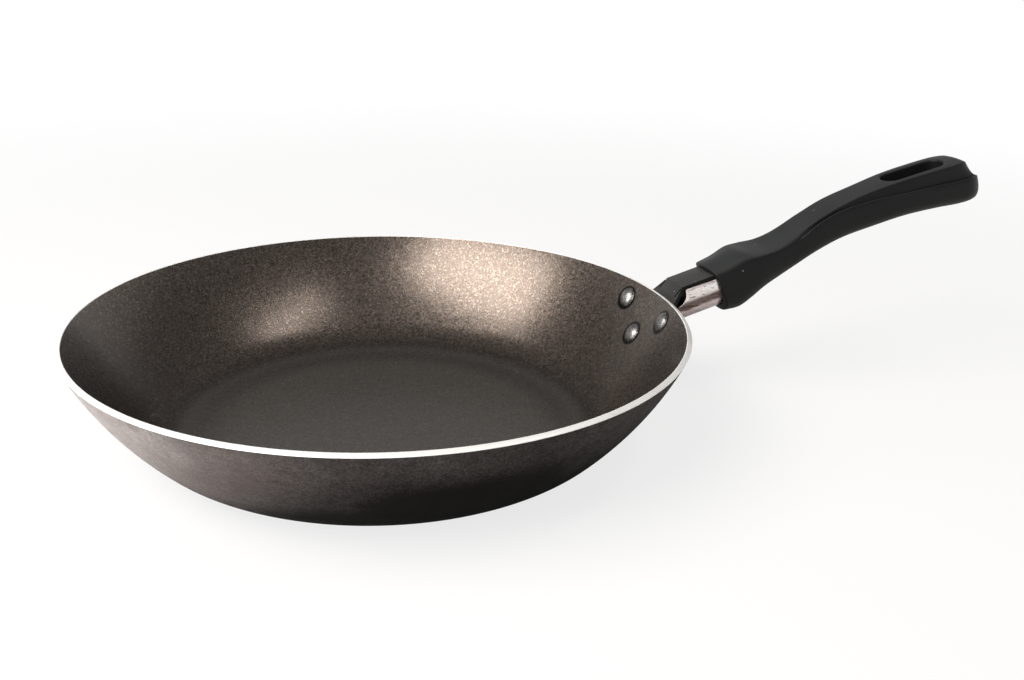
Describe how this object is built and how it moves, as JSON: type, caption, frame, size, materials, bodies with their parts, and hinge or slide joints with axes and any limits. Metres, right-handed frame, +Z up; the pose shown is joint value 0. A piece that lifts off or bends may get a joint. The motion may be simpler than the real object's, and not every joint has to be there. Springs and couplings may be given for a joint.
{
  "type": "burnt frying pan",
  "caption": "Round shallow frying pan with a flared wall and a long riveted grip that ends in a hanging slot, scorched outside.",
  "frame": {"origin": "centre of the flat underside", "axes": "+X along the handle, +Z up out of the bowl, +Y to the left seen from the bowl along the handle"},
  "size_m": [0.4602, 0.28, 0.112],
  "materials": {
    "pan_sheet": "dark non-stick coating inside, bare cut rim, scorched and heat stained outside",
    "rivet_metal": "worn bare metal",
    "black_paint": "satin black paint",
    "plated_steel": "dull pitted plating",
    "grip_moulding": "satin black moulding",
    "zinc_steel": "dull zinc"
  },
  "bodies": {
    "root": {"pan_body": "pan_sheet", "rivet_left": "rivet_metal", "rivet_right": "rivet_metal", "rivet_lower": "rivet_metal", "bracket": "black_paint", "flame_guard": "plated_steel", "grip": "grip_moulding", "grip_screw": "zinc_steel", "spring_washer": "zinc_steel", "square_nut": "zinc_steel"}
  },
  "joints": []
}
